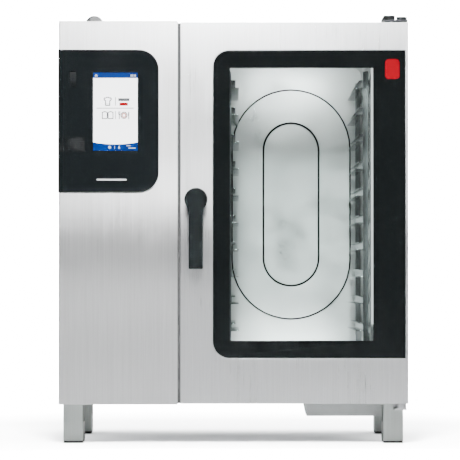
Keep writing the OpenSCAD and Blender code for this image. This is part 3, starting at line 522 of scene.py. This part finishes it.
# hardware steel darkened to near black: painted shade for the top hinge bracket, which sits in shadow
hinge_painted_shade = satin("hinge_painted_shade", (0.035, 0.037, 0.04), 0.45, dirt=0.3)
bend_steel = satin("bend_steel", (0.16, 0.165, 0.165), 0.22, dirt=0.15)
mark_pale = gloss_panel("mark_pale", (0.50, 0.51, 0.52), 0.2)
label_silver = satin("label_silver", (0.72, 0.72, 0.71), 0.42, metallic=0.6, grain=500.0)

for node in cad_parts.values():
    for i, material in enumerate(node.data.materials):
        if material and material.name in LOOKS:
            node.data.materials[i] = LOOKS[material.name]

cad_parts["top_panel"].data.materials[0] = LOOKS["top_steel"]
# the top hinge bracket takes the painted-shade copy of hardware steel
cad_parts["hinge_bracket_top"].data.materials[0] = hinge_painted_shade
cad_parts["left_front_panel"].data.materials[0] = front_steel
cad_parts["exhaust_pipe"].data.materials[0] = bend_steel
for name, width in (
    ("left_side_panel", 0.7), ("right_side_panel", 0.7), ("top_panel", 0.7), ("rear_panel", 0.6),
    ("left_front_panel", 0.7), ("front_frame", 0.7), ("base_pan", 0.8), ("door_skin", 0.9),
    ("door_inner_frame", 0.8), ("cavity_back", 1.6), ("cavity_liner", 0.7), ("suction_panel", 0.7),
    ("rack_left", 0.5), ("rack_right", 0.5), ("rack_studs", 0.8), ("legs", 0.9), ("underside_cover", 0.8),
    ("hinge_bracket_top", 0.8), ("hinge_bracket_bottom", 0.8), ("hinge_cap_top", 2.2),
    ("control_housing", 1.0), ("control_glass", 0.25), ("usb_cover", 0.35), ("power_switch", 0.5),
    ("foot_front_left", 1.0), ("foot_front_right", 1.0), ("foot_rear_left", 1.0), ("foot_rear_right", 1.0),
    ("cable_gland", 0.7), ("drain_outlet", 0.8), ("exhaust_pipe", 0.5), ("air_intake_pipe", 0.5),
    ("cooling_fan_frame", 0.8), ("fan_wheel", 0.5), ("handle_escutcheon", 0.8), ("handle_spindle", 0.5),
    ("striker_pin", 0.6), ("hinge_bushes", 0.5), ("drain_strainer", 0.5), ("door_light_bar", 0.8),
    ("fan_motor", 1.2), ("water_inlets", 0.6),
):
    soften(name, width * MM)


# ---- screen --------------------------------------------------------------------------------

# the lit picture is a little smaller than the display, which leaves a black border around it
screen_x, screen_z = screen_low.x + 6.5 * MM, screen_low.z + 3.8 * MM
screen_right, screen_top = screen_high.x - 1.8 * MM, screen_high.z - 2.6 * MM
screen_middle = (screen_x + screen_right) / 2
screen_y = screen_low.y
screen_corner = 0.6 * MM
layer = 0.06 * MM
fit_x, fit_z = 0.932, 0.968  # fits the icons' layout to the lit picture
top_bar_z = screen_top - 13.4 * MM
bottom_bar_z, bottom_bar_sag = screen_z + 20.5 * MM, 5.0 * MM


def layer_plate(name, outline, look, level=1, holes=()):
    """Thin display layer on the screen, its outline in metres"""
    span = (screen_y - level * layer, screen_y - (level - 1) * layer)
    return plate(name, outline, span, look, "screen", "casing", holes=holes)


def icon(name, points, look, x=0.0, z=0.0, line=0.0):
    """Icon with its points in millimetres from a place on the screen; a line width leaves it open"""
    across = [screen_x + (x + point[0]) * fit_x * MM for point in points]
    up = [screen_z + (z + point[1]) * fit_z * MM for point in points]
    outline = [Vector(place) for place in zip(across, up)]
    holes = [inset(outline, line * MM)] if line else []
    return layer_plate(name, outline, look, 3, holes)


def rectangle(x0, x1, z0, z1):
    return [(x0, z0), (x1, z0), (x1, z1), (x0, z1)]


whole = rounded(screen_low.x, screen_low.z, screen_high.x, screen_high.z, 1.0 * MM)
base = plate("screen_base", whole, (screen_y, screen_high.y), LOOKS["module_glass"], "screen", "casing",
             edge=0.15 * MM)
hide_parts("display_panel")
picture = rounded(screen_x, screen_z, screen_right, screen_top, screen_corner)
layer_plate("screen_picture", picture, LOOKS["screen"])
top_bar = rounded(screen_x, top_bar_z, screen_right, screen_top, (0, 0, screen_corner, screen_corner))
layer_plate("screen_top_bar", top_bar, screen_blue, 2)
bottom_bar = [Vector((screen_x, screen_z)), Vector((screen_right, screen_z)),
              Vector((screen_right, bottom_bar_z))]
bottom_bar += curve_through((screen_right, bottom_bar_z), (screen_middle, bottom_bar_z - 2 * bottom_bar_sag),
                            (screen_x, bottom_bar_z), 24)
bottom_bar += [Vector((screen_x, bottom_bar_z))]
layer_plate("screen_bottom_bar", bottom_bar, screen_blue, 2)

hat_half = [(0, 23.6), (3.6, 23.0), (6.0, 21.4), (8.6, 21.8), (10.8, 20.0), (11.0, 16.6), (9.2, 14.0),
            (7.0, 12.6), (6.8, 0)]
hat = [(-x, z) for x, z in hat_half[:0:-1]] + hat_half
icon("icon_hat", backwards(hat), screen_grey, 38.7, 115.3, line=2.5)
icon("icon_hat_band", rectangle(-6.2, 6.2, 4.6, 5.6), screen_grey, 38.7, 115.3)
for side in (-1, 1):
    page = [(0, 1.6), (3.0, 0.4), (15.5, 0.4), (15.5, 18.6), (8.5, 20.6), (3.0, 19.6), (0, 17.6)]
    page = [(side * x, z) for x, z in page]
    name = "icon_book_left" if side < 0 else "icon_book_right"
    icon(name, backwards(page) if side < 0 else page, screen_grey, 38.7, 81.0, line=2.3)
icon("icon_plate_rim", circle(0, 0, 9.3), screen_grey, 82.4, 91.0, line=2.4)
icon("icon_plate_ring", circle(0, 0, 6.2), screen_pale, 82.4, 91.0, line=2.6)
for x in (-2.0, 0.0, 2.0):
    icon("icon_fork_tine_%d" % (x + 3), rectangle(x - 0.7, x + 0.7, 13, 20), screen_grey, 69.8, 81.0)
icon("icon_fork", [(-1.1, 0), (1.1, 0), (1.1, 10), (2.7, 13), (-2.7, 13), (-1.1, 10)],
     screen_grey, 69.8, 81.0)
icon("icon_knife", [(-1.2, 0), (1.2, 0), (1.2, 20), (-0.4, 19), (-2.0, 15), (-1.8, 9), (-1.2, 8)],
     screen_grey, 95.2, 81.0)
for name, look, sides in (
    ("divider_wide", screen_rule, (9.0, 108.5, 108.4, 110.4)),
    ("divider_upper", screen_rule, (58.7, 60.5, 116, 138)),
    ("divider_lower", screen_rule, (58.7, 60.5, 81, 102)),
    ("words_upper", screen_grey, (67.0, 97.0, 127.6, 135.0)),
    ("words_lower", screen_red, (70.2, 93.0, 115.8, 123.6)),
    ("words_small_a", screen_mark, (89.0, 100.0, 11.4, 13.6)),
    ("words_small_b", screen_mark, (94.5, 113.5, 5.2, 7.6)),
    ("status_bar_icon", screen_mark, (56.6, 58.0, 4.6, 12.6)),
    ("clock_a", screen_mark, (100.0, 102.8, 190.6, 196.2)),
    ("clock_b", screen_mark, (103.8, 106.2, 190.6, 196.2)),
    ("clock_c", screen_mark, (108.0, 110.6, 190.6, 196.2)),
    ("clock_d", screen_mark, (111.6, 114.2, 190.6, 196.2)),
):
    icon("screen_" + name, rectangle(*sides), look)
house = [(-4.6, 3.6), (-3.2, 3.6), (-3.2, 0), (-1.0, 0), (-1.0, 2.6), (1.0, 2.6), (1.0, 0), (3.2, 0),
         (3.2, 3.6), (4.6, 3.6), (0, 7.6)]
icon("icon_house", house, screen_mark, 7.8, 190.0)
icon("icon_dot", circle(0, 0, 4.1), screen_mark, 44.0, 8.6)
drop = [(-2.4, 1.2), (0, 0), (2.4, 1.2), (2.8, 3.6), (1.4, 6.4), (1.6, 9.6), (-1.4, 6.6), (-2.6, 3.6)]
icon("icon_drop", drop, screen_mark, 69.2, 4.0)

# plain bar in the place of a name on the control panel
print_half = 0.05 * MM
name_bar = rounded(-341 * MM, 659 * MM, -266 * MM, 663 * MM, 2 * MM, 4)
plate("module_plain_bar", name_bar, (module_y - print_half, module_y + print_half), mark_pale,
      "module_glass", "casing")


# ---- door ----------------------------------------------------------------------------------

# black-backed glass border, clear pane in its window
glass_y, glass_edge = glass_low.y, 0.9 * MM
left_r, right_r = 42 * MM, 1 * MM
border_left, border_right, border_ends = 42.5 * MM, 80.5 * MM, 44 * MM
window = rounded(print_low.x + border_left, print_low.z + border_ends, print_high.x - border_right,
                 print_high.z - border_ends, 1.5 * MM)
glass = rounded(glass_low.x, glass_low.z, glass_high.x, glass_high.z, (left_r, right_r, right_r, left_r), 14)
border = plate("door_glass_border", glass, (glass_y, print_high.y), LOOKS["black_print"], "black_print",
               "door", holes=[window], edge=glass_edge)
pane = plate("door_window_pane", inset(window, 0.05 * MM), (glass_y + glass_edge, glass_high.y),
             LOOKS["clear_glass"], "clear_glass", "door")
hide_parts("door_glass", "door_print")
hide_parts("door_glass")

# black rubber strip on the casing that closes the gap between the front panel and the door
gap_low, gap_high, seal_end = front_high.x + 0.1 * MM, door_low.x - 0.3 * MM, 2 * MM
seal = rounded(gap_low, door_low.z + seal_end, gap_high, door_high.z - seal_end, 0.8 * MM, 4)
plate("door_gap_seal", seal, (front_y + 1.5 * MM, front_y + 14 * MM), LOOKS["gasket_rubber"],
      "gasket_rubber", "casing", edge=0.5 * MM)

# plain red patch near the glass's upper corner
patch_x, patch_z, patch_half_w, patch_half_h = 397.5 * MM, 937.8 * MM, 18 * MM, 25 * MM
patch = rounded(patch_x - patch_half_w, patch_z - patch_half_h, patch_x + patch_half_w,
                patch_z + patch_half_h, 9 * MM)
plate("door_plain_mark", patch, (glass_y - 0.15 * MM, glass_y + 0.05 * MM), mark_red, "black_print",
      "door", edge=0.04 * MM)


# ---- cavity back: painted shade, dark tubes along the rims of the raised oval --------------

def oval(cx, cz, half_w, half_h, steps=20):
    """Upright oval with straight sides, counter-clockwise"""
    drop = half_h - half_w
    return arc(cx, cz - drop, half_w, 180, 360, steps) + arc(cx, cz + drop, half_w, 0, 180, steps)


oval_x, oval_z = 157 * MM, 615 * MM
shade_line_y = cavity_back_y + 0.5 * MM
bm = bmesh.new()
# dark tubes on both rims of the raised oval: painted shade where its steep sides look dark
for half_w, half_h, shade_line_r in ((160, 311, 2.2), (75, 221, 2.7)):
    line = [(p.x, shade_line_y, p.y) for p in oval(oval_x, oval_z, half_w * MM, half_h * MM)]
    add_tube(bm, line, shade_line_r * MM, 8, closed=True)
finish_piece("cavity_oval_painted_shade", bm, painted_shade_line, "casing")


# ---- handle --------------------------------------------------------------------------------

# outline: a round head, a waisted neck and a flat bar that hangs from it
head_r = (handle_high.x - handle_low.x) / 2
head_x, head_z = (handle_high.x + handle_low.x) / 2, handle_high.z - head_r
bar_half, bar_t, bar_r = 17.5 * MM, 24 * MM, 3 * MM
bar_left, bar_right = head_x - bar_half, head_x + bar_half
bar_end = handle_low.z
neck_z = head_z - 44 * MM
bend, bend_z = 0.5 * MM, neck_z + 12 * MM
shoulder = 32.0
head = arc(head_x, head_z, head_r, -shoulder, 180 + shoulder, 32)
lever = list(head)
lever += curve_through(head[-1], (bar_left - bend, bend_z), (bar_left, neck_z))
lever += [Vector((bar_left, neck_z))]
lever += arc(bar_left + bar_r, bar_end + bar_r, bar_r, 180, 270, 5)
lever += arc(bar_right - bar_r, bar_end + bar_r, bar_r, 270, 360, 5)
lever += [Vector((bar_right, neck_z))]
lever += curve_through((bar_right, neck_z), (bar_right + bend, bend_z), head[0])
bm = bmesh.new()
add_plate(bm, lever, (handle_low.y, handle_low.y + bar_t), edge=2.4 * MM, steps=5)
# the boss behind the head has a groove and a bevelled end; radius and depth in millimetres
boss = [(0, 0), (22, 0), (22, 10), (20.8, 11.2), (20.8, 13), (22, 14.2), (22, 34), (21, 35), (0, 35)]
add_lathe(bm, [(r * MM, w * MM) for r, w in boss], (head_x, handle_low.y + bar_t, head_z), "y", 48)
handle = finish_piece("door_handle_lever", bm, LOOKS["handle_plastic"], "handle", sharp=50)
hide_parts("door_handle")


# ---- screws --------------------------------------------------------------------------------

bm = bmesh.new()
for z in (120, 360, 520, 720, 900, 1040):
    for x in (-425, -40, 425):
        add_screw(bm, x * MM, rear_y, z * MM, "y", 1)
for x in (-420, -220, 0, 220):
    add_screw(bm, x * MM, 355 * MM, top_z, "z", 1)
finish_piece("casing_screws", bm, LOOKS["hardware_steel"], "casing", sharp=30)


# ---- rear fittings -------------------------------------------------------------------------

# wire guard over the compartment fan's opening: rings, four spokes and a screw at each spoke's end
bm = bmesh.new()
guard_x, guard_z = -310 * MM, 880 * MM
ring_y, spoke_y = rear_y + 3.2 * MM, rear_y + 1.6 * MM
for r in (14, 25, 36, 47, 58):
    ring = [(p.x, ring_y, p.y) for p in circle(guard_x, guard_z, r * MM, 48)]
    add_tube(bm, ring, 1.1 * MM, 8, closed=True)
for angle in (45, 135, 225, 315):
    across, up = math.cos(math.radians(angle)), math.sin(math.radians(angle))
    inner, outer = [(guard_x + r * across, spoke_y, guard_z + r * up) for r in (12 * MM, 72 * MM)]
    add_tube(bm, [inner, outer], 1.3 * MM, 8)
    add_screw(bm, outer[0], rear_y, outer[2], "y", 1, 4.6 * MM)
finish_piece("fan_guard", bm, LOOKS["fan_steel"], "casing")

# blank rating plate with its rivets
bm = bmesh.new()
label = rounded(-130 * MM, 300 * MM, -30 * MM, 370 * MM, 3 * MM)
add_plate(bm, label, (rear_y, rear_y + 0.6 * MM), edge=0.2 * MM)
for x in (-125, -35):
    for z in (305, 365):
        add_screw(bm, x * MM, rear_y + 0.5 * MM, z * MM, "y", 1, 1.8 * MM)
finish_piece("rating_plate", bm, label_silver, "casing")

# threads on the two water inlets
bm = bmesh.new()
inlet_z, thread_pitch, first_crest = 250 * MM, 2.0 * MM, 2.5 * MM
crest = [(12.6, -0.9), (13.2, -0.2), (13.2, 0.2), (12.6, 0.9), (12.6, -0.9)]
crest = [(r * MM, w * MM) for r, w in crest]
for x in (-345, -290):
    for i in range(6):
        y = inlets_y - first_crest - thread_pitch * i
        add_lathe(bm, crest, (x * MM, y, inlet_z), "y", 36)
finish_piece("inlet_threads", bm, LOOKS["brass"], "casing")


# ---- stage, camera and lights --------------------------------------------------------------

floor_half = 9.0
mesh = bpy.data.meshes.new("floor")
bm = bmesh.new()
bmesh.ops.create_grid(bm, x_segments=8, y_segments=8, size=floor_half)
bm.to_mesh(mesh)
bm.free()
floor_look = Look("floor", (0.86, 0.86, 0.86), 0.6, Specular_IOR_Level=0.0)
floor_tone = floor_look.noise(2.0, 2, 0.5)
floor_bounce = floor_look.blend(floor_look.remap(floor_tone, 0, 1), (0.50, 0.50, 0.50), (0.53, 0.53, 0.53))
floor_white = floor_look.blend(floor_look.remap(floor_tone, 0, 1), (5.2, 5.2, 5.2), (5.4, 5.4, 5.4))
floor_seen = floor_look.tree.nodes.new("ShaderNodeLightPath").outputs["Is Camera Ray"]
floor_look.colour(floor_look.blend(floor_seen, floor_bounce, floor_white))
reach = floor_look.tree.nodes.new("ShaderNodeVectorMath")
reach.operation = "LENGTH"
floor_look.link(floor_look.place, reach.inputs[0])
far = floor_look.remap(reach.outputs["Value"], 0.0, 25.0, 0.9, 3.0)
floor_look.set("Emission Color", (1, 1, 1, 1))
floor_look.link(floor_look.maths("MULTIPLY", far, floor_seen), floor_look.shader.inputs["Emission Strength"])
mesh.materials.append(floor_look.material)
floor = bpy.data.objects.new("floor", mesh)
floor.location = (0, 0, -0.0005)
bpy.context.scene.collection.objects.link(floor)

camera_place = Vector((0.0, -7.534, 0.4225))
camera_aim = Vector((-0.008, front_y, 0.5355))
camera_data = bpy.data.cameras.new("camera")
camera_data.lens = 225.7
camera_data.sensor_width = 36
camera = bpy.data.objects.new("camera", camera_data)
camera.location = camera_place
camera.rotation_euler = (camera_aim - camera_place).to_track_quat("-Z", "Y").to_euler()
bpy.context.scene.collection.objects.link(camera)
bpy.context.scene.camera = camera


def soft_light(name, place, aim, width, height, power, spread=180, colour=(1, 1, 1)):
    lamp = bpy.data.lights.new(name, "AREA")
    lamp.shape = "RECTANGLE"
    lamp.size, lamp.size_y = width, height
    lamp.energy = power
    lamp.spread = math.radians(spread)
    lamp.color = colour
    box = bpy.data.objects.new(name, lamp)
    box.location = place
    box.rotation_euler = (Vector(aim) - Vector(place)).to_track_quat("-Z", "Y").to_euler()
    bpy.context.scene.collection.objects.link(box)


soft_light("top_front", (-0.05, -2.7, 2.0), (0, -0.3, 0.8), 0.5, 0.8, 235)
soft_light("left_front", (-2.7, -2.2, 1.3), (0, 0, 0.6), 1.2, 2.2, 14)
soft_light("right_front", (2.9, -2.4, 1.5), (0, 0, 0.6), 1.4, 2.4, 24)
soft_light("floor_front", (0.05, -1.15, 2.0), (0.05, -1.1, 0), 0.7, 0.25, 440, spread=28)
soft_light("overhead", (0, 0.4, 3.2), (0, 0.3, 0), 3.0, 3.0, 95)
soft_light("behind", (0.6, 3.4, 2.2), (0, 0, 0.5), 2.4, 2.0, 90)
cavity_x = (gasket_low.x + gasket_high.x) / 2
for side, z in (("top", gasket_high.z - 45 * MM), ("bottom", gasket_low.z + 45 * MM)):
    soft_light("cavity_" + side, (cavity_x, -60 * MM, z), (cavity_x, cavity_back_y, 0.6), 0.2, 0.02, 1.5)

# the studio's dark side lies behind the camera, so that black glass stays black from the front
world = bpy.data.worlds.new("studio")
world.use_nodes = True
tree = world.node_tree
tree.nodes.clear()
output = tree.nodes.new("ShaderNodeOutputWorld")
seen = tree.nodes.new("ShaderNodeBackground")
seen.inputs["Color"].default_value = (1, 1, 1, 1)
seen.inputs["Strength"].default_value = 25.0
around = tree.nodes.new("ShaderNodeBackground")
around.inputs["Color"].default_value = (0.95, 0.98, 1.0, 1)
direction = tree.nodes.new("ShaderNodeTexCoord")
forward = tree.nodes.new("ShaderNodeVectorMath")
forward.operation = "DOT_PRODUCT"
forward.inputs[1].default_value = (0, -1, 0)
tree.links.new(direction.outputs["Generated"], forward.inputs[0])
fall = tree.nodes.new("ShaderNodeMapRange")
fall.interpolation_type = "SMOOTHSTEP"
fall.inputs["From Min"].default_value = 0.55
fall.inputs["From Max"].default_value = 0.97
fall.inputs["To Min"].default_value = 0.6
fall.inputs["To Max"].default_value = 0.06
tree.links.new(forward.outputs["Value"], fall.inputs["Value"])
tree.links.new(fall.outputs["Result"], around.inputs["Strength"])
path = tree.nodes.new("ShaderNodeLightPath")
choose = tree.nodes.new("ShaderNodeMixShader")
tree.links.new(path.outputs["Is Camera Ray"], choose.inputs["Fac"])
tree.links.new(around.outputs["Background"], choose.inputs[1])
tree.links.new(seen.outputs["Background"], choose.inputs[2])
tree.links.new(choose.outputs["Shader"], output.inputs["Surface"])
bpy.context.scene.world = world
